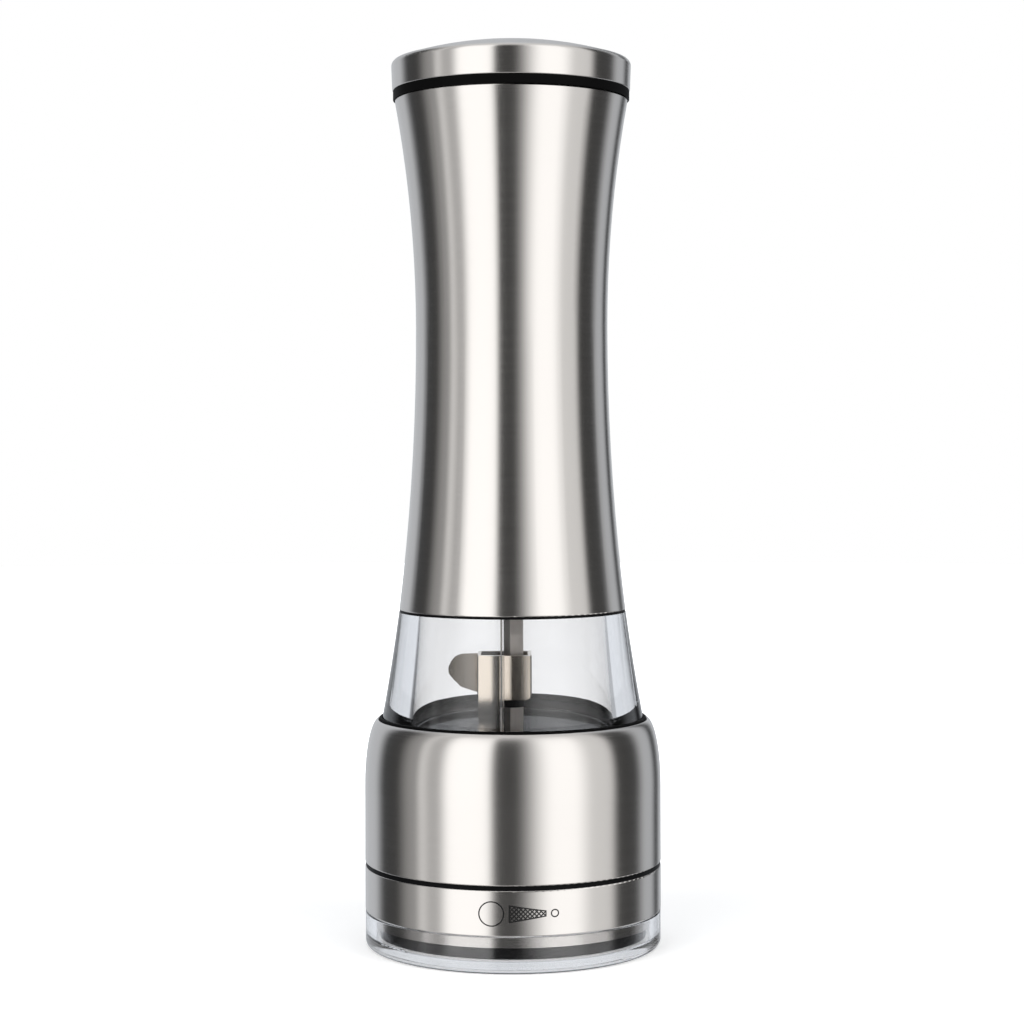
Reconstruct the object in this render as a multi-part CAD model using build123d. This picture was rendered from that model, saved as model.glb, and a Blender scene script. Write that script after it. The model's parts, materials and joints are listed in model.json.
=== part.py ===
from build123d import *
import math
import os

# Pepper mill. The origin is at the middle of the underside, +Z up, the engraved scale faces -Y.
# All lengths are millimetres. Turned pieces are drawn as (radius, height) outlines.

# ---- Fits and clearances ----
running_fit = 0.1        # radial play between turned faces that slide or turn on each other
seat_fit = 0.05          # play of a piece in the seat that holds it still
face_play = 0.1          # axial play between faces that turn on each other
loose_gap = 0.4          # free air between pieces that never touch
edge = 0.3               # rounding of moulded and rolled edges
over = 1.0               # how far a cutter or a joined piece reaches past a face

# ---- Walls ----
sheet = 0.8              # brushed steel skins
plastic_wall = 1.2       # thin moulded tubes
rib_width = 3.0          # spokes of the two spiders
spoke_count = 3

# ---- Clear base dish ----
dish_height = 7.95
dish_floor = 2.3
dish_wall = 2.3
dish_rounding = 1.3
dish_corner = 0.6

# ---- Adjusting ring ----
body_radius = 33.0       # adjusting sleeve and lower shell
sleeve_height = 9.75
sleeve_lip_drop = 2.7    # how far the sleeve's inner lip reaches down into the dish
collar_rise = 0.4        # the black collar's skirt above the dish's floor
collar_web = 2.1
collar_skirt_wall = 2.2
collar_hub_wall = 2.9
collar_hub_rise = 2.7    # the collar's hub above the dish's floor
circlip_thickness = 1.0
circlip_reach = 1.6
circlip_depth = 0.7
circlip_opening = 40.0

# ---- Engraved scale on the sleeve ----
scale_depth = 0.2
scale_line = 0.28
scale_turn = 5.3         # degrees to the right of the front
coarse_ring_radius = 2.7
fine_ring_radius = 0.9
wedge_length = 8.0
wedge_tall_end = 3.8
wedge_short_end = 1.3
scale_spacing = 0.9
hatch_pitch = 0.95

# ---- Clamp ring, which shows as the black gap ----
gap_height = 0.9
gap_recess = 0.15
clamp_thickness = 2.2
clamp_step = 1.4

# ---- Lower shell and the black seal in its mouth ----
shell_height = 31.7
shoulder_width = 3.2
shoulder_height = 15.0
mouth_seal_width = 0.6
mouth_seal_rise = 0.4

# ---- Hopper ----
window_height = 23.75
window_taper = 3.85       # how much narrower the window is at its top
window_hollow = 0.15      # how far the window's flank curves inward of a straight cone
hopper_foot_wall = 6.4
hopper_top_wall = 4.55
hopper_foot_depth = 5.6   # below the top of the lower shell
hopper_flange = 1.8
bore_hollow = 0.15        # the same of its bore
bore_foot_drop = 2.2      # the bore's foot below the top of the lower shell
bore_land = 0.3
neck_step = 3.65
neck_wall = 2.1
neck_height = 11.6
gasket_thickness = 0.8

# ---- Grinder housing ----
dish_rim_reach = 0.2     # the black dish's rim beyond the hopper's bore
dish_rim_drop = 2.65     # below the top of the lower shell
dish_rim_wall = 1.2
dish_step = 1.4
dish_step_edge = 0.4
dish_slope = 2.25
throat_radius = 12.5
deck_thickness = 2.4
housing_wall = 2.2
guide_wall = 2.5
guide_gap = 0.2          # the guide tube above the adjusting collar
hub_radius = 6.0
spoke_turn = 30.0
bush_wall = 1.65
bush_flange = 1.3
bush_flange_height = 0.6
screw_count = 3
screw_radius = 1.0
screw_length = 12.0
screw_head_radius = 2.0
screw_head_height = 1.4
boss_radius = 2.5

# ---- Burr carrier and its spring ----
carrier_radius = 17.0
carrier_low = 8.0
spring_space = 4.1
burr_headroom = 3.5      # carrier wall above the ring burr
carrier_wall = 2.0        # around the ring burr
carrier_lip = 2.0         # reach of the ledge the ring burr stands on
key_count = 3
key_width = 2.5
key_reach = 1.7
key_rise = 1.7           # keys above the low end of the guide tube
key_headroom = 1.5       # carrier wall above the keys
carrier_travel = 0.8
spring_wire = 1.0
spring_turns = 2

# ---- Burrs ----
ring_burr_height = 12.0
ring_burr_top_bore = 8.2
ring_burr_foot_wall = 3.0
burr_gap = 0.6
grinding_height = 4.0
cone_drop = 1.5          # the cone starts this far below the ring burr
cone_height = 15.5
cone_top_radius = 5.4
flute_count = 10
tooth_count = 30
flute_size = 1.7
tooth_size = 0.5
flute_lean = 22.0

# ---- Drive shaft and what it carries ----
shaft_size = 3.5         # square
shaft_turn = 31.8        # degrees, how the square stands at rest
shaft_end_gap = 0.25
stud_radius = 1.6
stud_length = 4.2
driver_width = 7.6       # across flats
driver_flange_radius = 7.0
driver_flange = 1.5
driver_height = 12.5
rotor_washer_radius = 5.0
rotor_washer_thickness = 0.8
rotor_screw_radius = 1.25
rotor_screw_length = 11.0
rotor_head_radius = 2.9
rotor_head_height = 2.2
slot_width = 0.7
slot_depth = 1.0
slot_share = 0.7         # cross recess, as a share of the screw head's width
nut_width = 6.0          # across flats
nut_height = 3.0

# ---- Stirrer ----
stirrer_rise = 4.5       # above the top of the lower shell
stirrer_height = 8.9
stirrer_sheet = 0.8
stirrer_left = 7.4
stirrer_right = 3.8
stirrer_back = 3.4
front_left_reach = 3.6   # how far each corner of the front stands before the shaft's middle
front_fold_reach = 4.4
front_right_reach = 4.6
left_belly = 0.25        # how far the two front faces bulge
right_belly = 0.3
apron_drop = 1.0         # the right front face hangs below the rest
apron_rounding = 1.6
wing_length = 7.0
wing_sweep = -0.9        # the wing comes forward from its root to its tip
wing_rounding = 3.6
wing_belly = 4.2         # outward of the stirrer's left side
wing_belly_rise = 1.5
wing_belly_rounding = 2.0
wing_tip_rise = 4.5
wing_tip_rounding = 1.5
leg_width = 5.6
leg_drop = 8.4
stop_radius = 2.9        # black stop collar under the stirrer
stop_height = 7.0

# ---- Upper body ----
glide_height = 0.45
upper_height = 112.8
waist_hollow = 3.95      # how much narrower the waist is than the foot
waist_above_foot = 62.7
mouth_flare = 0.6        # how much wider the mouth is than the foot
liner_gap = 0.4
liner_play = 0.4         # liner step above the hopper's neck
liner_flange = 1.5
bridge_height = 2.5
bridge_below_mouth = 12.8
bridge_rim = 2.7
bridge_turn = 90.0
bridge_hub_radius = 4.5
bridge_hub_height = 8.0
collar_grip = 8.0        # how far the mouth collar reaches down over the liner
ledge_height = 3.0
ledge_reach = 1.7
mouth_wall = 3.95
mouth_fit = 0.2

# ---- Lid ----
seal_height = 1.95
seal_reach = 0.35        # the seal's band beyond the mouth
lid_overhang = 0.7
lid_skirt = 6.65
lid_dome = 4.0
lid_edge = 1.2
lid_taper = 0.2          # how much narrower the skirt is at its foot
plug_depth = 4.7
plug_floor = 1.6
plug_wall = 1.4
plug_disc = 1.4
plug_edge = 0.5
seal_sleeve = 1.0
seal_play = 0.15
seal_sleeve_depth = 3.8

# ---- Heights that follow ----
sleeve_low = dish_height + face_play
sleeve_top = sleeve_low + sleeve_height
clamp_top = sleeve_top + clamp_thickness
guide_low = clamp_top + face_play + 2 * circlip_thickness + guide_gap
shell_low = sleeve_top + gap_height
shell_top = shell_low + shell_height
window_top = shell_top + window_height
upper_low = window_top + glide_height
waist_height = upper_low + waist_above_foot
upper_top = upper_low + upper_height
seal_top = upper_top + seal_height
lid_shoulder = seal_top + lid_skirt
lid_top = lid_shoulder + lid_dome
deck_top = shell_top - hopper_foot_depth - gasket_thickness
deck_low = deck_top - deck_thickness
carrier_top = deck_low - spring_space
burr_low = carrier_top - burr_headroom - ring_burr_height
burr_top = burr_low + ring_burr_height
key_low = guide_low + key_rise
key_top = carrier_top - key_headroom
rotor_face = burr_low - cone_drop - seat_fit - driver_flange
shaft_low = rotor_face + shaft_end_gap
stirrer_low = shell_top + stirrer_rise
bridge_low = upper_top - bridge_below_mouth - bridge_height
bridge_top = bridge_low + bridge_height
hub_top = bridge_low + bridge_height / 2 + bridge_hub_height / 2

# ---- Radii that follow ----
dish_radius = body_radius - seat_fit
dish_bore = dish_radius - dish_wall
shell_bore = body_radius - sheet
shell_mouth = body_radius - shoulder_width
window_foot_radius = shell_mouth - mouth_seal_width - 2 * seat_fit
window_top_radius = window_foot_radius - window_taper
bore_foot_radius = window_foot_radius - hopper_foot_wall
bore_top_radius = window_top_radius - hopper_top_wall
neck_radius = window_top_radius - neck_step
dish_rim_radius = bore_foot_radius + dish_rim_reach
foot_radius = window_top_radius - seat_fit
waist_radius = foot_radius - waist_hollow
mouth_radius = foot_radius + mouth_flare
liner_radius = waist_radius - sheet - liner_gap
liner_bore = liner_radius - plastic_wall
mouth_bore_radius = mouth_radius - mouth_wall
lid_radius = mouth_radius + lid_overhang
lip_radius = dish_bore - running_fit
collar_skirt_radius = lip_radius - sheet - seat_fit
hub_bore = carrier_radius + running_fit
collar_hub_radius = hub_bore + collar_hub_wall
collar_cup_bore = shell_bore - seat_fit - collar_skirt_wall
screw_circle = collar_cup_bore - screw_head_radius - loose_gap
ring_burr_radius = carrier_radius - carrier_wall
ring_burr_low_bore = ring_burr_radius - ring_burr_foot_wall
carrier_lip_radius = ring_burr_radius - carrier_lip
spring_radius = carrier_radius - spring_wire
shaft_corner = shaft_size / math.sqrt(2)
bush_bore = shaft_corner + running_fit
bush_radius = bush_bore + bush_wall


# ---- Helpers ----
def rounded(face, *corners):
    """Round the corners of a face that lie nearest to (radius, height, rounding)."""
    for x, y, rounding in corners:
        vertex = face.vertices().sort_by_distance(Vector(x, y))[0]
        face = fillet(vertex, rounding)
    return face


def outline(*corners):
    """Closed face with (radius, height) corners; a third number rounds that corner."""
    face = make_face(Polyline(*[corner[:2] for corner in corners], close=True))
    return rounded(face, *[corner for corner in corners if len(corner) == 3])


def spin(face):
    """Turn a (radius, height) face about Z."""
    return revolve(Plane.XZ * face, axis=Axis.Z)


def turned(*corners):
    return spin(outline(*corners))


def ring(inner, outer, low, high):
    return turned((inner, low), (outer, low), (outer, high), (inner, high))


def disc(radius, low, high):
    return Pos(0, 0, low) * extrude(Circle(radius), high - low)


def prism(sketch, low, high):
    """Upright prism on a plan sketch."""
    return extrude(Pos(0, 0, low) * sketch, high - low)


def around(count, piece, start=0.0):
    """Copies of a piece at equal angles about Z."""
    return [Rot(0, 0, start + 360 * n / count) * piece for n in range(count)]


def bar(inner, outer, width, low, high):
    """Radial bar along +X between two radii."""
    return Pos((inner + outer) / 2, 0, (low + high) / 2) * Box(outer - inner, width, high - low)


def hexagon(width):
    return RegularPolygon(width / 2, 6, major_radius=False)


def screw_head(radius, height, seat):
    """Round head under a seat, with a cross recess in its lower face."""
    head = disc(radius, seat - height, seat)
    head = fillet(head.edges().sort_by(Axis.Z)[0], height / 2)
    for turn in (0, 90):
        slot = Rot(0, 0, turn) * Box(2 * radius * slot_share, slot_width, 2 * slot_depth)
        head = head - Pos(0, 0, seat - height) * slot
    return head


def flank_radius(height, offset=0.0):
    """Outer radius of the waisted upper shell at a height, less an offset."""
    rise = height - waist_height
    reach = upper_top - waist_height if rise > 0 else waist_height - upper_low
    flare = (mouth_radius if rise > 0 else foot_radius) - waist_radius
    arc = (reach**2 + flare**2) / (2 * flare)
    return waist_radius + arc - math.sqrt(arc**2 - rise**2) - offset


def flank(start, end, offset=0.0):
    """Arc of the upper shell's flank between two heights on one side of the waist."""
    heights = (start, (start + end) / 2, end)
    return ThreePointArc(*[(flank_radius(height, offset), height) for height in heights])


def shoulder(offset=0.0):
    """Elliptical shoulder of the lower shell, from its straight wall up to its mouth."""
    centre = (body_radius - shoulder_width, shell_top - shoulder_height)
    return EllipticalCenterArc(centre, shoulder_width - offset, shoulder_height - offset, arc_size=90)


def shoulder_bore(height):
    """Inner radius of the lower shell at a height on its shoulder."""
    share = (height - shell_top + shoulder_height) / (shoulder_height - sheet)
    return body_radius - shoulder_width + (shoulder_width - sheet) * math.sqrt(1 - share**2)


# ---- Clear base dish ----
def make_base_dish():
    return turned(
        (0, 0),
        (dish_radius, 0, dish_rounding),
        (dish_radius, dish_height, edge),
        (dish_bore, dish_height, edge),
        (dish_bore, dish_floor, dish_corner),
        (0, dish_floor),
    )


# ---- Adjusting ring ----
def scale_sketch():
    """Coarse ring, cross-hatched wedge and fine ring, side by side along X."""
    coarse_x = -wedge_length / 2 - scale_spacing - coarse_ring_radius
    fine_x = wedge_length / 2 + scale_spacing + fine_ring_radius
    marks = Pos(coarse_x, 0) * (Circle(coarse_ring_radius) - Circle(coarse_ring_radius - scale_line))
    marks += Pos(fine_x, 0) * (Circle(fine_ring_radius) - Circle(fine_ring_radius - scale_line))
    corners = [
        (-wedge_length / 2, -wedge_tall_end / 2),
        (wedge_length / 2, -wedge_short_end / 2),
        (wedge_length / 2, wedge_short_end / 2),
        (-wedge_length / 2, wedge_tall_end / 2),
    ]
    wedge = make_face(Polyline(*corners, close=True))
    marks += wedge - offset(wedge, -scale_line)
    hatch_count = int((wedge_length + wedge_tall_end) / hatch_pitch)
    for n in range(hatch_count):
        x = (n - (hatch_count - 1) / 2) * hatch_pitch
        for lean in (45, -45):
            marks += wedge & (Pos(x, 0) * Rot(0, 0, lean) * Rectangle(scale_line, 2 * wedge_tall_end))
    return marks


def make_adjust_sleeve():
    flange_top = sleeve_low + sheet
    sleeve = turned(
        (lip_radius, sleeve_low - sleeve_lip_drop),
        (lip_radius, sleeve_low),
        (body_radius, sleeve_low, edge),
        (body_radius, sleeve_top, edge),
        (shell_bore, sleeve_top),
        (shell_bore, flange_top),
        (lip_radius - sheet, flange_top),
        (lip_radius - sheet, sleeve_low - sleeve_lip_drop),
    )
    middle = (sleeve_low + sleeve_top) / 2
    cutter = extrude(Plane.XZ * scale_sketch(), body_radius + over)
    cutter = cutter - Cylinder(body_radius - scale_depth, 2 * body_radius)
    return sleeve - Rot(0, 0, scale_turn) * Pos(0, 0, middle) * cutter


def make_adjust_collar():
    low = dish_floor + collar_rise
    hub_low = dish_floor + collar_hub_rise
    wide = shell_bore - seat_fit
    web_low = sleeve_low + sheet + seat_fit
    web_top = web_low + collar_web
    hub_top_z = clamp_top + face_play + 2 * circlip_thickness
    collar = turned(
        (collar_skirt_radius, low, edge),
        (collar_skirt_radius, web_low),
        (wide, web_low),
        (wide, sleeve_top - face_play),
        (collar_cup_bore, sleeve_top - face_play),
        (collar_cup_bore, web_top),
        (collar_hub_radius, web_top),
        (collar_hub_radius, hub_top_z, edge),
        (hub_bore, hub_top_z),
        (hub_bore, hub_low),
        (collar_hub_radius, hub_low),
        (collar_hub_radius, web_low),
        (collar_skirt_radius - collar_skirt_wall, web_low),
        (collar_skirt_radius - collar_skirt_wall, low, edge),
    )
    groove_low = clamp_top + face_play - seat_fit
    groove = ring(
        collar_hub_radius - circlip_depth,
        collar_hub_radius + over,
        groove_low,
        groove_low + circlip_thickness + 2 * seat_fit,
    )
    return collar - groove


def circlip(seat_radius, reach, low):
    """Flat open ring; its opening faces +Y."""
    band = ring(seat_radius, seat_radius + reach, low, low + circlip_thickness)
    far = 2 * (seat_radius + reach)
    half = math.radians(circlip_opening / 2)
    mouth = make_face(
        Polyline((0, 0), (far * math.sin(half), far), (-far * math.sin(half), far), close=True)
    )
    return band - prism(mouth, low - over, low + circlip_thickness + over)


def make_retaining_ring():
    seat = collar_hub_radius - circlip_depth + seat_fit
    return circlip(seat, circlip_depth + circlip_reach, clamp_top + face_play)


# ---- Lower body ----
def make_clamp_ring():
    rim_radius = body_radius - gap_recess
    clamp = turned(
        (collar_hub_radius + running_fit, sleeve_top),
        (rim_radius, sleeve_top),
        (rim_radius, shell_low - seat_fit),
        (shell_bore - clamp_step, shell_low - seat_fit),
        (shell_bore - clamp_step, clamp_top),
        (collar_hub_radius + running_fit, clamp_top),
    )
    hole = Pos(screw_circle, 0) * disc(screw_radius + seat_fit, sleeve_top - over, clamp_top + over)
    return clamp - around(screw_count, hole)


def make_clamp_screws():
    shank = disc(screw_radius, sleeve_top, sleeve_top + screw_length)
    head = screw_head(screw_head_radius, screw_head_height, sleeve_top)
    screw = Pos(screw_circle, 0) * (shank + head)
    return Compound(children=around(screw_count, screw))


def make_lower_shell():
    straight_top = shell_top - shoulder_height
    edges = [
        Line((body_radius, shell_low), (body_radius, straight_top)),
        shoulder(),
        Line((shell_mouth, shell_top), (shell_mouth, shell_top - sheet)),
        shoulder(sheet),
        Line((shell_bore, straight_top), (shell_bore, shell_low)),
        Line((shell_bore, shell_low), (body_radius, shell_low)),
    ]
    return spin(rounded(make_face(edges), (shell_mouth, shell_top, edge), (body_radius, shell_low, edge)))


def make_mouth_seal():
    """Thin black ring between the shell's mouth and the hopper."""
    bore = window_foot_radius + seat_fit
    top = shell_top + mouth_seal_rise
    return turned(
        (bore, shell_top - sheet),
        (bore + mouth_seal_width, shell_top - sheet),
        (bore + mouth_seal_width, top, mouth_seal_width / 2),
        (bore, top),
    )


def hollow_side(low, high, hollow):
    """Side of the hopper between two corners, curved inward of the straight line by the hollow."""
    middle = ((low[0] + high[0]) / 2 - hollow, (low[1] + high[1]) / 2)
    return ThreePointArc(low, middle, high)


def make_hopper():
    foot_z = shell_top - hopper_foot_depth
    flange_top = foot_z + hopper_flange
    flange_radius = shoulder_bore(flange_top) - running_fit
    rebate = dish_rim_radius + loose_gap
    bore_foot = (bore_foot_radius, shell_top - bore_foot_drop)
    bore_top = (bore_top_radius, window_top - bore_land)
    neck_bore = neck_radius - neck_wall
    neck_top = window_top + neck_height
    edges = [
        hollow_side((window_foot_radius, shell_top), (window_top_radius, window_top), window_hollow),
        Polyline(
            (window_top_radius, window_top),
            (neck_radius, window_top),
            (neck_radius, neck_top),
            (neck_bore, neck_top),
            (neck_bore, window_top + neck_wall),
            bore_top,
        ),
        hollow_side(bore_foot, bore_top, bore_hollow),
        Polyline(
            bore_foot,
            (rebate, bore_foot[1]),
            (rebate, foot_z),
            (flange_radius, foot_z),
            (flange_radius, flange_top),
            (window_foot_radius, flange_top),
            (window_foot_radius, shell_top),
        ),
    ]
    return spin(make_face(edges))


def make_hopper_gasket():
    rebate = dish_rim_radius + loose_gap
    flange = shoulder_bore(shell_top - hopper_foot_depth + hopper_flange) - running_fit
    return ring(rebate, flange - loose_gap, deck_top, deck_top + gasket_thickness)


def make_grinder_housing():
    rim_top = shell_top - dish_rim_drop
    inner_rim = dish_rim_radius - dish_rim_wall
    wide = shell_bore - running_fit
    shoulder_foot = shell_top - shoulder_height
    narrow = shoulder_bore(deck_top) - running_fit
    guide_bore = carrier_radius + running_fit
    guide_radius = guide_bore + guide_wall
    housing = turned(
        (throat_radius, deck_low),
        (throat_radius, rim_top - dish_step - dish_slope),
        (inner_rim - dish_step, rim_top - dish_step),
        (inner_rim, rim_top - dish_step + dish_step_edge),
        (inner_rim, rim_top, edge),
        (dish_rim_radius, rim_top, edge),
        (dish_rim_radius, deck_top),
        (narrow, deck_top),
        (narrow, shoulder_foot),
        (wide, shoulder_foot),
        (wide, clamp_top),
        (narrow - housing_wall, clamp_top),
        (narrow - housing_wall, deck_low),
        (guide_radius, deck_low),
        (guide_radius, guide_low),
        (guide_bore, guide_low),
        (guide_bore, deck_low),
    )
    boss = Pos(screw_circle, 0) * disc(boss_radius, clamp_top, deck_low)
    housing = housing + around(screw_count, boss)
    hole = Pos(screw_circle, 0) * disc(
        screw_radius + seat_fit, clamp_top - over, sleeve_top + screw_length + loose_gap
    )
    housing = housing - around(screw_count, hole)
    slot_top = key_top + carrier_travel + loose_gap
    slot_reach = carrier_radius + key_reach + running_fit
    slot = bar(carrier_radius - over, slot_reach, key_width + 2 * running_fit, guide_low - over, slot_top)
    housing = housing - around(key_count, slot)
    spoke = bar(bush_radius + over, throat_radius + over, rib_width, deck_low, deck_top)
    housing = housing + around(spoke_count, spoke, spoke_turn) + disc(hub_radius, deck_low, deck_top)
    return housing - disc(bush_radius + seat_fit, deck_low - over, deck_top + over)


def make_bearing_bush():
    return turned(
        (bush_bore, deck_low),
        (bush_radius, deck_low),
        (bush_radius, deck_top + seat_fit),
        (bush_radius + bush_flange, deck_top + seat_fit),
        (bush_radius + bush_flange, deck_top + bush_flange_height),
        (bush_bore, deck_top + bush_flange_height),
    )


# ---- Burr carrier ----
def make_burr_carrier():
    seat = ring_burr_radius + seat_fit
    carrier = turned(
        (carrier_lip_radius, carrier_low),
        (carrier_radius, carrier_low, edge),
        (carrier_radius, carrier_top),
        (seat, carrier_top),
        (seat, burr_low),
        (carrier_lip_radius, burr_low),
    )
    key = bar(seat + over, carrier_radius + key_reach, key_width, key_low, key_top)
    carrier = carrier + around(key_count, key)
    clip_low = burr_top + seat_fit
    groove = ring(
        seat - over,
        ring_burr_radius + circlip_depth + seat_fit,
        clip_low - seat_fit,
        clip_low + circlip_thickness + seat_fit,
    )
    return carrier - groove


def ring_burr_bore(height):
    """Radius of the ring burr's bore at a height."""
    share = (height - burr_low) / ring_burr_height
    return ring_burr_low_bore + (ring_burr_top_bore - ring_burr_low_bore) * share


def burr_grooves(count, radius_low, radius_high, low, high, size):
    """V grooves that run up a cone, leaning round it."""
    slope = math.degrees(math.atan2(radius_high - radius_low, high - low))
    length = math.hypot(high - low, radius_high - radius_low) + 3 * size
    groove = Rot(0, 0, 45) * Box(size, size, length)
    groove = Rot(flute_lean, 0, 0) * groove
    groove = Rot(0, slope, 0) * groove
    groove = Pos((radius_low + radius_high) / 2, 0, (low + high) / 2) * groove
    return around(count, groove)


def make_ring_burr():
    burr = turned(
        (ring_burr_low_bore, burr_low),
        (ring_burr_radius, burr_low, edge),
        (ring_burr_radius, burr_top, edge),
        (ring_burr_top_bore, burr_top),
    )
    feed_low = burr_low + grinding_height
    return burr - burr_grooves(
        flute_count, ring_burr_bore(feed_low), ring_burr_top_bore, feed_low, burr_top, flute_size
    )


def make_burr_circlip():
    outer = ring_burr_radius + circlip_depth
    return circlip(outer - circlip_reach, circlip_reach, burr_top + seat_fit)


def make_carrier_spring():
    low = carrier_top + spring_wire / 2 + seat_fit
    high = deck_low - spring_wire / 2 - seat_fit
    coil = Helix((high - low) / spring_turns, high - low, spring_radius)
    section = Plane(origin=coil @ 0, z_dir=coil % 0) * Circle(spring_wire / 2)
    return Pos(0, 0, low) * sweep(section, path=coil, is_frenet=True)


# ---- Rotor on the drive shaft ----
def cone_edge(height):
    """Radius of the cone burr where it grinds."""
    return ring_burr_bore(height) - burr_gap


def make_cone_burr():
    low = burr_low - cone_drop
    grind_top = burr_low + grinding_height
    top = low + cone_height
    rim = cone_edge(burr_low)
    cone = turned(
        (0, low),
        (rim, low, edge),
        (rim, burr_low),
        (cone_edge(grind_top), grind_top),
        (cone_top_radius, top, edge),
        (0, top),
    )
    cone = cone - burr_grooves(
        flute_count, cone_edge(grind_top), cone_top_radius, grind_top, top, flute_size
    )
    cone = cone - burr_grooves(tooth_count, rim, cone_edge(grind_top), low, grind_top, tooth_size)
    return cone - prism(hexagon(driver_width + 2 * seat_fit), low - over, top + over)


def square(extra=0.0):
    return Rot(0, 0, shaft_turn) * Rectangle(shaft_size + extra, shaft_size + extra)


def make_rotor_driver():
    top = rotor_face + driver_height
    driver = disc(driver_flange_radius, rotor_face, rotor_face + driver_flange)
    driver = driver + prism(hexagon(driver_width), rotor_face, top)
    return driver - prism(square(2 * seat_fit), rotor_face - over, top + over)


def make_drive_shaft():
    shaft = prism(square(), shaft_low, hub_top)
    shaft = shaft + disc(stud_radius, hub_top, hub_top + stud_length)
    shaft = chamfer(shaft.edges().sort_by(Axis.Z)[-1], edge)
    return shaft - disc(rotor_screw_radius + seat_fit, shaft_low - over, shaft_low + rotor_screw_length)


def make_rotor_washer():
    low = rotor_face - rotor_washer_thickness
    return ring(rotor_screw_radius + seat_fit, rotor_washer_radius, low, rotor_face)


def make_rotor_screw():
    seat = rotor_face - rotor_washer_thickness
    shank = disc(rotor_screw_radius, seat, seat + rotor_screw_length)
    return shank + screw_head(rotor_head_radius, rotor_head_height, seat)


# ---- Stirrer ----
def strap(line, low, high):
    """Upright strip of sheet along a plan line."""
    return prism(trace(line, line_width=stirrer_sheet), low, high)


def bulge(start, end, belly):
    """Arc between two points of the plan, bulging to the front."""
    start, end = Vector(*start), Vector(*end)
    along = (end - start).normalized()
    middle = (start + end) / 2 + Vector(along.Y, -along.X) * belly
    return ThreePointArc(start, middle, end)


def make_stirrer():
    top = stirrer_low + stirrer_height
    front_left = (-stirrer_left, -front_left_reach)
    front_fold = (leg_width - stirrer_left, -front_fold_reach)
    front_right = (stirrer_right, -front_right_reach)
    back_right = (stirrer_right, stirrer_back)
    back_left = (-stirrer_left, stirrer_back)
    left_face = bulge(front_left, front_fold, left_belly)
    right_face = bulge(front_fold, front_right, right_belly)
    back = Polyline(front_right, back_right, back_left, front_left)
    stirrer = strap(back, stirrer_low, top)
    stirrer = stirrer + strap(left_face, stirrer_low - leg_drop, top)
    apron = outline(
        (front_fold[0] - over, stirrer_low - apron_drop),
        (front_right[0] + stirrer_sheet / 2, stirrer_low - apron_drop, apron_rounding),
        (front_right[0] + stirrer_sheet / 2, top),
        (front_fold[0] - over, top),
    )
    apron = strap(right_face, stirrer_low - apron_drop, top) & extrude(Plane.XZ * apron, 2 * stirrer_left)
    wing_end = (-stirrer_left - wing_length, wing_sweep)
    wing = strap(Line((-stirrer_left, 0), wing_end), stirrer_low, top)
    side = outline(
        (-stirrer_left + over, stirrer_low - over),
        (-stirrer_left, stirrer_low),
        (-stirrer_left - wing_belly, stirrer_low + wing_belly_rise, wing_belly_rounding),
        (-stirrer_left - wing_length, stirrer_low + wing_tip_rise, wing_tip_rounding),
        (-stirrer_left - wing_length, top, wing_rounding),
        (-stirrer_left + over, top),
    )
    wing = wing & extrude(Plane.XZ * side, stirrer_left, both=True)
    web = make_face(Polyline(front_left, front_fold, front_right, back_right, back_left, close=True))
    web_middle = (stirrer_low + top) / 2
    web = prism(web, web_middle - stirrer_sheet / 2, web_middle + stirrer_sheet / 2)
    web = web - prism(square(2 * seat_fit), stirrer_low, top)
    return stirrer + apron + wing + web


def make_stop_collar():
    top = stirrer_low + stirrer_height / 2 - stirrer_sheet / 2 - seat_fit
    collar = disc(stop_radius, top - stop_height, top)
    return collar - prism(square(2 * seat_fit), top - stop_height - over, top + over)


# ---- Upper body ----
def make_glide_ring():
    return ring(neck_radius + running_fit, foot_radius - running_fit, window_top, upper_low)


def make_upper_shell():
    edges = [
        flank(upper_low, waist_height),
        flank(waist_height, upper_top),
        Line((mouth_radius, upper_top), (mouth_radius - sheet, upper_top)),
        flank(waist_height, upper_top, sheet),
        flank(upper_low, waist_height, sheet),
        Line((foot_radius - sheet, upper_low), (foot_radius, upper_low)),
    ]
    return spin(rounded(make_face(edges), (mouth_radius, upper_top, edge), (foot_radius, upper_low, edge)))


def make_upper_liner():
    socket = neck_radius + running_fit
    bell = socket + plastic_wall - 2 * seat_fit
    step = window_top + neck_height + liner_play
    flange = flank_radius(upper_low + liner_flange, sheet + mouth_fit)
    return turned(
        (socket, upper_low),
        (flange, upper_low),
        (flange, upper_low + liner_flange),
        (bell, upper_low + liner_flange),
        (bell, step + plastic_wall),
        (liner_radius, step + plastic_wall),
        (liner_radius, bridge_low),
        (liner_bore, bridge_low),
        (liner_bore, step),
        (socket, step),
    )


def make_mouth_collar():
    low = bridge_low - collar_grip
    ledge = bridge_top + seat_fit
    edges = [
        flank(low, upper_top, sheet + mouth_fit),
        Polyline(
            (flank_radius(upper_top, sheet + mouth_fit), upper_top),
            (mouth_bore_radius, upper_top),
            (mouth_bore_radius, ledge + ledge_height),
            (liner_radius - ledge_reach, ledge + ledge_height),
            (liner_radius - ledge_reach, ledge),
            (liner_radius + running_fit, ledge),
            (liner_radius + running_fit, low),
            (flank_radius(low, sheet + mouth_fit), low),
        ),
    ]
    return spin(make_face(edges))


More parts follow.
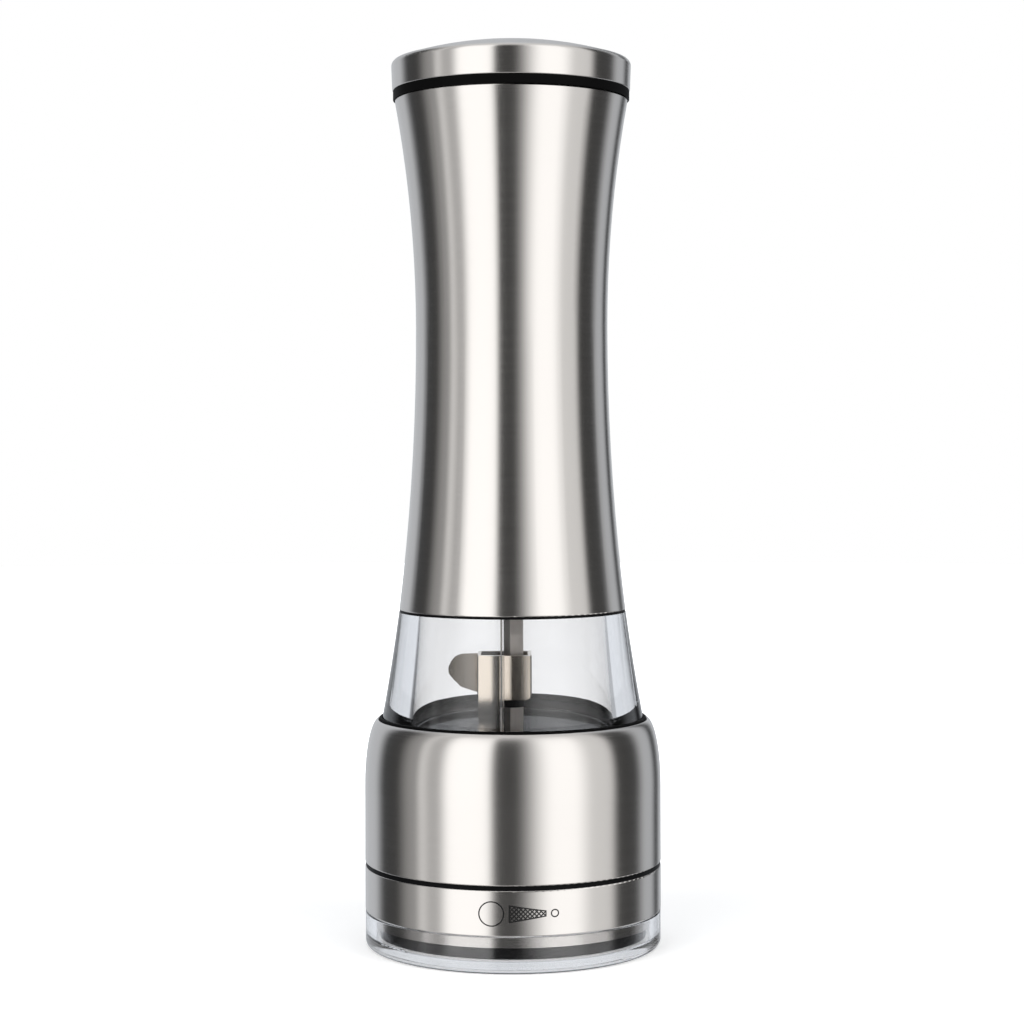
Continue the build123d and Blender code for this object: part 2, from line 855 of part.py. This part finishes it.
def make_drive_bridge():
    rim_bore = liner_radius - bridge_rim
    rim = ring(rim_bore, liner_radius, bridge_low, bridge_top)
    spoke = bar(bridge_hub_radius - over, rim_bore + over, rib_width, bridge_low, bridge_top)
    bridge = rim + around(spoke_count, spoke, bridge_turn)
    hub_low = hub_top - bridge_hub_height
    bridge = bridge + disc(bridge_hub_radius, hub_low, hub_top)
    return bridge - prism(square(2 * seat_fit), hub_low - over, hub_top + over)


def make_shaft_nut():
    nut = prism(hexagon(nut_width), hub_top, hub_top + nut_height)
    return nut - disc(stud_radius + seat_fit, hub_top - over, hub_top + nut_height + over)


# ---- Lid ----
def make_lid_cap():
    inner = lid_radius - sheet
    skirt_foot = lid_radius - lid_taper
    dome_foot = lid_radius - lid_edge
    edges = [
        Line((skirt_foot, seal_top), (lid_radius, lid_shoulder - lid_edge)),
        TangentArc(
            (lid_radius, lid_shoulder - lid_edge), (dome_foot, lid_shoulder), tangent=(0, 1)
        ),
        TangentArc((0, lid_top), (dome_foot, lid_shoulder), tangent=(1, 0)),
        Line((0, lid_top), (0, lid_top - sheet)),
        TangentArc((0, lid_top - sheet), (inner, lid_shoulder - sheet), tangent=(1, 0)),
        Line((inner, lid_shoulder - sheet), (inner, seal_top)),
        Line((inner, seal_top), (skirt_foot, seal_top)),
    ]
    return spin(rounded(make_face(edges), (skirt_foot, seal_top, edge)))


def make_lid_plug():
    low = upper_top - plug_depth
    sleeve_bore = mouth_bore_radius - seal_play - seal_sleeve
    plug_radius = sleeve_bore - seat_fit
    disc_radius = lid_radius - sheet - seat_fit
    return turned(
        (0, low),
        (plug_radius, low, plug_edge),
        (plug_radius, seal_top),
        (disc_radius, seal_top),
        (disc_radius, seal_top + plug_disc),
        (plug_radius - plug_wall, seal_top + plug_disc),
        (plug_radius - plug_wall, low + plug_floor),
        (0, low + plug_floor),
    )


def make_lid_seal():
    outer = mouth_bore_radius - seal_play
    band = mouth_radius + seal_reach
    return turned(
        (outer - seal_sleeve, upper_top - seal_sleeve_depth),
        (outer, upper_top - seal_sleeve_depth, edge),
        (outer, upper_top),
        (band, upper_top),
        (band, seal_top),
        (outer - seal_sleeve, seal_top),
    )


pieces = {
    "base_dish": make_base_dish,
    "adjust_sleeve": make_adjust_sleeve,
    "adjust_collar": make_adjust_collar,
    "retaining_ring": make_retaining_ring,
    "clamp_ring": make_clamp_ring,
    "clamp_screws": make_clamp_screws,
    "lower_shell": make_lower_shell,
    "mouth_seal": make_mouth_seal,
    "hopper": make_hopper,
    "hopper_gasket": make_hopper_gasket,
    "grinder_housing": make_grinder_housing,
    "bearing_bush": make_bearing_bush,
    "burr_carrier": make_burr_carrier,
    "ring_burr": make_ring_burr,
    "burr_circlip": make_burr_circlip,
    "carrier_spring": make_carrier_spring,
    "cone_burr": make_cone_burr,
    "rotor_driver": make_rotor_driver,
    "rotor_washer": make_rotor_washer,
    "rotor_screw": make_rotor_screw,
    "drive_shaft": make_drive_shaft,
    "stirrer": make_stirrer,
    "stop_collar": make_stop_collar,
    "glide_ring": make_glide_ring,
    "upper_shell": make_upper_shell,
    "upper_liner": make_upper_liner,
    "mouth_collar": make_mouth_collar,
    "drive_bridge": make_drive_bridge,
    "shaft_nut": make_shaft_nut,
    "lid_cap": make_lid_cap,
    "lid_plug": make_lid_plug,
    "lid_seal": make_lid_seal,
}

os.makedirs("parts", exist_ok=True)
for node, make in pieces.items():
    export_step(make(), f"parts/{node}.step")
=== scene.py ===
import json
import math

import bpy
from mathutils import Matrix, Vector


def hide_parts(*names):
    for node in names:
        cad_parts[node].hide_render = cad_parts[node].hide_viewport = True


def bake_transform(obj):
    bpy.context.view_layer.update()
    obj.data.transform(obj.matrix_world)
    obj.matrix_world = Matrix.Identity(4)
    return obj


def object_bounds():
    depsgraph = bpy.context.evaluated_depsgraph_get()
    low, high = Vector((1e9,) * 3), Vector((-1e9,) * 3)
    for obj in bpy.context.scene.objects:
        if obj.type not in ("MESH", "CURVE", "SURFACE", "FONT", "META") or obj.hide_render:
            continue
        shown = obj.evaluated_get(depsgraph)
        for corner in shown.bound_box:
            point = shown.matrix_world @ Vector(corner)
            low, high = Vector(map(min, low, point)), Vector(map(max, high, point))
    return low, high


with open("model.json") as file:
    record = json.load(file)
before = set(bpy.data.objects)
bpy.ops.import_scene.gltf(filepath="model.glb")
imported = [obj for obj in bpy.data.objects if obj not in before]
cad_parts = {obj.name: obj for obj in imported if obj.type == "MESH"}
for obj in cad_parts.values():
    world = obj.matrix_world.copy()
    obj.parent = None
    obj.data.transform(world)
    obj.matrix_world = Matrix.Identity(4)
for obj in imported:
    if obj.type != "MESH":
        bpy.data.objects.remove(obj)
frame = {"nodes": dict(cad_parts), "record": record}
nodes = frame["nodes"]
cad_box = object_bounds()

# Pepper mill: brushed steel skins, clear acrylic hopper and base dish, black grinder parts.
# Metres, +Z up, origin under the base. The engraved scale faces -Y.


# ---- Node helpers ----
class Shader:
    """A node tree with short calls to add, set and join nodes."""

    def __init__(self, tree):
        self.tree = tree
        tree.nodes.clear()

    def add(self, kind, **settings):
        node = self.tree.nodes.new(kind)
        for name, value in settings.items():
            setattr(node, name, value)
        return node

    def join(self, source, target):
        self.tree.links.new(source, target)

    def feed(self, socket, value):
        """Join a socket to another, or set its constant."""
        if isinstance(value, bpy.types.NodeSocket):
            self.join(value, socket)
        else:
            socket.default_value = value

    def math(self, operation, a, b=0.0):
        node = self.add("ShaderNodeMath", operation=operation)
        for socket, value in zip(node.inputs, (a, b)):
            self.feed(socket, value)
        return node.outputs[0]

    def product(self, a, b):
        return self.math("MULTIPLY", a, b)

    def smooth(self, value, start, end, low=0.0, high=1.0):
        """Smooth step of a value between two limits."""
        node = self.add("ShaderNodeMapRange", interpolation_type="SMOOTHSTEP")
        for name, given in zip(("Value", "From Min", "From Max", "To Min", "To Max"),
                               (value, start, end, low, high)):
            self.feed(node.inputs[name], given)
        return node.outputs[0]

    def mix(self, factor, a, b):
        """Colour between two colours. The node's colour sockets are the ones numbered here."""
        node = self.add("ShaderNodeMix", data_type="RGBA")
        for number, given in ((0, factor), (6, a), (7, b)):
            self.feed(node.inputs[number], given)
        return node.outputs[2]

    def split(self, vector):
        """The X, Y and Z of a vector."""
        axes = self.add("ShaderNodeSeparateXYZ")
        self.join(vector, axes.inputs[0])
        return axes.outputs

    def place(self, scale=(1.0, 1.0, 1.0)):
        """Object coordinates, scaled in X, Y and Z."""
        coords = self.add("ShaderNodeTexCoord")
        mapping = self.add("ShaderNodeMapping")
        mapping.inputs["Scale"].default_value = scale
        self.join(coords.outputs["Object"], mapping.inputs["Vector"])
        return mapping.outputs["Vector"]

    def noise(self, scale, detail=3.0, roughness=0.5):
        """Noise in object space; scale is in cells per metre along X, Y and Z."""
        texture = self.add("ShaderNodeTexNoise")
        texture.inputs["Scale"].default_value = 1.0
        texture.inputs["Detail"].default_value = detail
        texture.inputs["Roughness"].default_value = roughness
        self.join(self.place(scale), texture.inputs["Vector"])
        return texture.outputs["Fac"]

    def between(self, value, low, high):
        """1 where a value lies between two limits."""
        above = self.math("GREATER_THAN", value, low)
        return self.product(above, self.math("LESS_THAN", value, high))

    def polar(self):
        """Distance from the Z axis, and height."""
        x, y, z = self.split(self.place())
        square = self.math("ADD", self.product(x, x), self.product(y, y))
        return self.math("SQRT", square), z

    def band(self, inner, outer, low, high):
        """1 where a point lies between two radii round the Z axis and between two heights."""
        radius, z = self.polar()
        return self.product(self.between(radius, inner, outer), self.between(z, low, high))

    def ridge(self, place, half_width):
        """Rounded ridge that runs up the front at a place along X."""
        x, y, _ = self.split(self.place())
        aside = self.math("ABSOLUTE", self.math("SUBTRACT", x, place))
        rise = self.smooth(aside, 0.0, half_width, 1.0, 0.0)
        return self.product(rise, self.math("LESS_THAN", y, 0.0))

    def bump(self, height, distance, strength=1.0, under=None):
        """Bumps of a height, in metres, over the ones of another normal."""
        node = self.add("ShaderNodeBump")
        if under:
            self.join(under, node.inputs["Normal"])
        node.inputs["Strength"].default_value = strength
        node.inputs["Distance"].default_value = distance
        self.join(height, node.inputs["Height"])
        return node.outputs["Normal"]


def material(name):
    """New node material, its Shader and its Principled node, joined to the output."""
    made = bpy.data.materials.new(name)
    made.use_nodes = True
    shader = Shader(made.node_tree)
    principled = shader.add("ShaderNodeBsdfPrincipled")
    output = shader.add("ShaderNodeOutputMaterial")
    shader.join(principled.outputs["BSDF"], output.inputs["Surface"])
    return made, shader, principled


def tinted(colour, share=1.0):
    """A colour with its red, green and blue times a share, and an alpha of 1."""
    return tuple(share * c for c in colour) + (1.0,)


# ---- Materials ----
# Noise scales are in cells per metre, and bump heights in metres.
brush_cells = (30.0, 30.0, 5200.0)
cloud_cells = (22.0, 22.0, 14.0)
paint_black = (0.02, 0.02, 0.02, 1.0)
scratch_cells = (900.0, 900.0, 160.0)
wave_cells = (60.0, 60.0, 26.0)
wave_height = 0.00008
seam_half_width = 0.00045
seam_height = 0.00006
gloss_cells = (70.0, 70.0, 70.0)
speck_cells = (1800.0, 1800.0, 1800.0)
ceramic_white = (0.83, 0.80, 0.74, 1.0)
ceramic_speck = (0.66, 0.62, 0.56, 1.0)


def steel(name, colour, rough, engraved=None):
    """Steel brushed round the Z axis: long fine streaks, and highlights drawn out upwards.

    An engraved band, between two radii and two heights, is filled with dark paint.
    """
    made, shader, principled = material(name)
    streaks = shader.noise(brush_cells, detail=4.0, roughness=0.65)
    cloud = shader.noise(cloud_cells, detail=2.0)
    tone = shader.mix(streaks, tinted(colour, 0.97), tinted(colour, 1.02))
    metal = 1.0
    if engraved:
        paint = shader.band(*engraved)
        tone = shader.mix(paint, tone, paint_black)
        metal = shader.math("SUBTRACT", 1.0, paint)
    shader.join(tone, principled.inputs["Base Color"])
    shader.feed(principled.inputs["Metallic"], metal)
    grain = shader.smooth(streaks, 0.25, 0.75, rough * 0.88, rough * 1.1)
    uneven = shader.smooth(cloud, 0.3, 0.7, -0.012, 0.012)
    shader.join(shader.math("ADD", grain, uneven), principled.inputs["Roughness"])
    principled.inputs["Anisotropic"].default_value = 0.80
    principled.inputs["Anisotropic Rotation"].default_value = 0.25
    tangent = shader.add("ShaderNodeTangent", direction_type="RADIAL", axis="Z")
    shader.join(tangent.outputs["Tangent"], principled.inputs["Tangent"])
    shader.join(shader.bump(streaks, 0.000003, 0.2), principled.inputs["Normal"])
    return made


def bright_steel(name, colour, rough):
    """Drawn or stamped steel of the small parts, with fine random scratches."""
    made, shader, principled = material(name)
    scratch = shader.noise(scratch_cells, detail=5.0, roughness=0.7)
    tone = shader.mix(scratch, tinted(colour, 0.85), tinted(colour))
    shader.join(tone, principled.inputs["Base Color"])
    gloss = shader.smooth(scratch, 0.3, 0.7, rough * 0.8, rough * 1.25)
    shader.join(gloss, principled.inputs["Roughness"])
    principled.inputs["Metallic"].default_value = 1.0
    shader.join(shader.bump(scratch, 0.00001, 0.3), principled.inputs["Normal"])
    return made


def clear_acrylic(name, seam_place=None):
    """Polished clear acrylic with shallow waves. A seam is an upright line from its mould."""
    made, shader, principled = material(name)
    principled.inputs["Base Color"].default_value = (0.870, 0.870, 0.874, 1.0)
    principled.inputs["Roughness"].default_value = 0.0
    principled.inputs["IOR"].default_value = 1.49
    principled.inputs["Transmission Weight"].default_value = 1.0
    waves = shader.bump(shader.noise(wave_cells, detail=1.0), wave_height, 0.25)
    if seam_place is not None:
        seam = shader.ridge(seam_place, seam_half_width)
        waves = shader.bump(seam, seam_height, 1.0, waves)
    shader.join(waves, principled.inputs["Normal"])
    return made


def moulded(name, colour, rough, specular=0.5, grain=2600.0, depth=0.000012):
    """Moulded plastic: fine spark grain, a little uneven in gloss."""
    made, shader, principled = material(name)
    spark = shader.noise((grain, grain, grain), detail=3.0)
    cloud = shader.noise(gloss_cells, detail=2.0)
    tone = shader.mix(cloud, tinted(colour), tinted(colour, 1.35))
    shader.join(tone, principled.inputs["Base Color"])
    gloss = shader.smooth(cloud, 0.3, 0.7, rough * 0.9, rough * 1.15)
    shader.join(gloss, principled.inputs["Roughness"])
    principled.inputs["IOR"].default_value = 1.5
    principled.inputs["Specular IOR Level"].default_value = specular
    shader.join(shader.bump(spark, depth, 0.5), principled.inputs["Normal"])
    return made


def ceramic(name):
    """Fine ground ceramic: off-white, faintly speckled."""
    made, shader, principled = material(name)
    speck = shader.noise(speck_cells, detail=2.0)
    tone = shader.mix(shader.smooth(speck, 0.62, 0.7), ceramic_white, ceramic_speck)
    shader.join(tone, principled.inputs["Base Color"])
    principled.inputs["Roughness"].default_value = 0.42
    principled.inputs["Subsurface Weight"].default_value = 0.15
    principled.inputs["Subsurface Radius"].default_value = (0.001, 0.0008, 0.0006)
    shader.join(shader.bump(speck, 0.00002, 0.4), principled.inputs["Normal"])
    return made


def top(node):
    return max(corner[2] for corner in nodes[node].bound_box)


def reach(node):
    return max(corner[0] for corner in nodes[node].bound_box)


# The scale is engraved into the sleeve half way between the dish's rim and the sleeve's top.
steel_colour = (0.70, 0.675, 0.65)
steel_rough = 0.23
scale_height = (top("base_dish") + top("adjust_sleeve")) / 2
scale_half_height = 0.0031
scale_depths = (0.0006, 0.0001)
scale_radii = tuple(reach("adjust_sleeve") - depth for depth in scale_depths)
scale_band = scale_radii + (scale_height - scale_half_height, scale_height + scale_half_height)
seam_place = -0.0022

finishes = {
    "brushed_steel": steel("brushed_steel", steel_colour, steel_rough),
    "spring_steel": bright_steel("spring_steel", (0.66, 0.63, 0.59), 0.22),
    "clear_acrylic": clear_acrylic("clear_acrylic"),
    "black_plastic": moulded("black_plastic", (0.010, 0.010, 0.011), 0.14, depth=0.000003),
    "satin_black_plastic": moulded("satin_black_plastic", (0.003, 0.003, 0.0033), 0.38,
                                   specular=0.05),
    "silicone": moulded("silicone", (0.002, 0.002, 0.002), 0.55, specular=0.04, grain=1400.0),
    "ceramic": ceramic("ceramic"),
}
own_finishes = {
    "hopper": clear_acrylic("seamed_acrylic", seam_place=seam_place),
    "drive_shaft": bright_steel("drawn_steel", (0.50, 0.47, 0.44), 0.5),
    "stirrer": bright_steel("rolled_steel", (0.86, 0.77, 0.66), 0.13),
    "adjust_sleeve": steel("engraved_steel", steel_colour, steel_rough, engraved=scale_band),
}

for part in frame["record"]["subparts"]:
    mesh = nodes[part["node"]].data
    mesh.materials.clear()
    mesh.materials.append(own_finishes.get(part["node"], finishes[part["material_slot"]]))


# ---- Shape changes that the solids leave to the scene ----
def soften(node, width):
    """Bevels the edges of a node that its drawing or bending would leave round."""
    bevel = nodes[node].modifiers.new("softened_edges", "BEVEL")
    bevel.width = width
    bevel.segments = 3
    bevel.limit_method = "ANGLE"
    bevel.angle_limit = math.radians(40)
    bevel.harden_normals = True


def stretch(node):
    """A copy, with its place baked into its mesh, stands for the node, which is hidden."""
    piece = nodes[node]
    spring = bpy.data.objects.new("coil", piece.data.copy())
    spring.matrix_world = piece.matrix_world
    bpy.context.scene.collection.objects.link(spring)
    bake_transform(spring)
    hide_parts(node)


soften("drive_shaft", 0.0003)
stretch("carrier_spring")


# ---- Studio ----
# The mill stands among tall soft panels. Each has its left and right edge and the softness of
# each edge, as bearings in degrees from the front towards the right, and its brightness.
panels = (
    ("back_left", -230, -126, 9, 9, 0.56),
    ("left_wall", -94, -55, 9, 6, 0.30),
    ("left_screen", -78, -55, 3, 6, 0.18),
    ("left_strip", -78, -70, 3, 4, 0.32),
    ("left_box", -55, -16.5, 6, 4, 1.45),
    ("right_box", 16, 57, 16, 9, 0.62),
    ("right_wall", 17, 84.5, 16, 5, 0.80),
    ("back_right_strip", 116, 140, 8, 6, 0.50),
    ("back_right", 154, 230, 8, 8, 0.53),
)
dark_wall = 0.06
white = (1.0, 1.0, 1.0)
# Brightness above and below, which comes in between two angles from the horizon.
ceiling_light = 0.80
ceiling_edge = (35, 75)
ground_light = 0.50
ground_edge = (20, 60)
# What stands behind the mill looks faintly cool.
cool_edge = (95, 130)
cool_tint = (0.955, 0.995, 1.05, 1.0)
# The white backdrop, as rays that bounce inside the clear wall see it.
backdrop_edge = (123, 129)
backdrop_light = 0.93
# The floor glows white, less so round the mill, where its shadow falls. The edge is two radii.
floor_radius = 1.6
floor_colour = (0.86, 0.86, 0.86)
glow_edge = (0.07, 0.24)
glow_near = 0.33
glow_far = 0.9
# The glow that rays through the clear pieces meet.
glow_through = 0.42


def panel_light(shader, bearing):
    """Brightness of the panels round the mill at a bearing."""
    light = dark_wall
    for _, left, right, left_soft, right_soft, brightness in panels:
        rise = shader.smooth(bearing, left - left_soft, left + left_soft, 0.0, brightness)
        fall = shader.smooth(bearing, right - right_soft, right + right_soft, 0.0, brightness)
        light = shader.math("ADD", light, shader.math("SUBTRACT", rise, fall))
    return light


def room_light(shader, turn, z):
    """Brightness of the room at a bearing and a height on the unit sphere."""
    upper = shader.smooth(z, *(math.sin(math.radians(angle)) for angle in ceiling_edge))
    lower = shader.smooth(z, *(-math.sin(math.radians(angle)) for angle in ground_edge))
    light = shader.mix(upper, panel_light(shader, turn), tinted(white, ceiling_light))
    return shader.mix(lower, light, tinted(white, ground_light))


def make_world():
    """The room that the mill mirrors. The camera, also through clear pieces, sees plain white."""
    world = bpy.data.worlds.new("studio")
    bpy.context.scene.world = world
    world.use_nodes = True
    shader = Shader(world.node_tree)
    x, y, z = shader.split(shader.add("ShaderNodeTexCoord").outputs["Generated"])
    bearing = shader.math("ARCTAN2", x, shader.product(y, -1.0))
    turn = shader.product(bearing, math.degrees(1.0))
    aside = shader.math("ABSOLUTE", turn)
    path = shader.add("ShaderNodeLightPath").outputs
    straight = shader.math("LESS_THAN", path["Glossy Depth"], 0.5)
    through = shader.product(path["Is Transmission Ray"], straight)
    seen = shader.math("MAXIMUM", path["Is Camera Ray"], through)
    unseen = shader.math("SUBTRACT", 1.0, seen)
    behind = shader.smooth(aside, *backdrop_edge, 0.0, backdrop_light)
    behind = shader.product(behind, path["Is Transmission Ray"])
    light = shader.math("MAXIMUM", room_light(shader, turn, z), behind)
    tint = shader.mix(shader.smooth(aside, *cool_edge), tinted(white), cool_tint)
    background = shader.add("ShaderNodeBackground")
    shader.join(shader.mix(unseen, tinted(white), tint), background.inputs["Color"])
    strength = shader.math("ADD", shader.product(light, unseen), seen)
    shader.join(strength, background.inputs["Strength"])
    output = shader.add("ShaderNodeOutputWorld")
    shader.join(background.outputs["Background"], output.inputs["Surface"])


def floor_material():
    """White floor that takes a shadow and glows. Rays that met steel pass through it."""
    made, shader, principled = material("floor")
    principled.inputs["Base Color"].default_value = tinted(floor_colour)
    principled.inputs["Roughness"].default_value = 0.7
    principled.inputs["Specular IOR Level"].default_value = 0.2
    principled.inputs["Emission Color"].default_value = tinted(white)
    path = shader.add("ShaderNodeLightPath").outputs
    radius, _ = shader.polar()
    glow = shader.smooth(radius, *glow_edge, glow_near, glow_far)
    straight = shader.product(path["Is Camera Ray"], glow)
    through = shader.product(path["Is Transmission Ray"], glow_through)
    glow = shader.math("MAXIMUM", straight, through)
    shader.join(glow, principled.inputs["Emission Strength"])
    blend = shader.add("ShaderNodeMixShader")
    shader.join(shader.math("GREATER_THAN", path["Glossy Depth"], 0.5), blend.inputs[0])
    shader.join(principled.outputs["BSDF"], blend.inputs[1])
    shader.join(shader.add("ShaderNodeBsdfTransparent").outputs[0], blend.inputs[2])
    shader.join(blend.outputs[0], made.node_tree.nodes["Material Output"].inputs["Surface"])
    return made


def make_floor():
    bpy.ops.mesh.primitive_circle_add(vertices=96, radius=floor_radius, fill_type="NGON")
    floor = bpy.context.object
    floor.name = "floor"
    floor.visible_glossy = False
    floor.data.materials.append(floor_material())


def make_lamp(name, place, size, power):
    """Soft box that looks at the middle of the mill."""
    data = bpy.data.lights.new(name, "AREA")
    data.shape = "RECTANGLE"
    data.size, data.size_y = size
    data.energy = power
    lamp = bpy.data.objects.new(name, data)
    lamp.location = place
    toward = (cad_box[0] + cad_box[1]) / 2 - lamp.location
    lamp.rotation_euler = toward.to_track_quat("-Z", "Y").to_euler()
    lamp.visible_glossy = False
    bpy.context.scene.collection.objects.link(lamp)


# ---- Camera ----
# Metres, degrees, and millimetres for the lens. The pitch is downwards.
camera_distance = 0.510
camera_height = 0.1120
camera_pitch = 1.77
camera_roll = 0.147
camera_lens = 80.5
sensor_width = 36.0


def make_camera():
    data = bpy.data.cameras.new("camera")
    data.lens = camera_lens
    data.sensor_width = sensor_width
    data.clip_start = 0.01
    camera = bpy.data.objects.new("camera", data)
    camera.location = (0.0, -camera_distance, camera_height)
    camera.rotation_euler = (math.radians(90 - camera_pitch), math.radians(camera_roll), 0.0)
    bpy.context.scene.collection.objects.link(camera)
    bpy.context.scene.camera = camera


# ---- Scene ----
make_world()
make_floor()
make_lamp("left_box", (-0.55, -0.45, 0.45), (0.5, 0.6), 3.0)
make_lamp("right_box", (0.6, -0.35, 0.40), (0.5, 0.6), 2.5)
make_camera()
bpy.context.scene.view_settings.view_transform = "Standard"
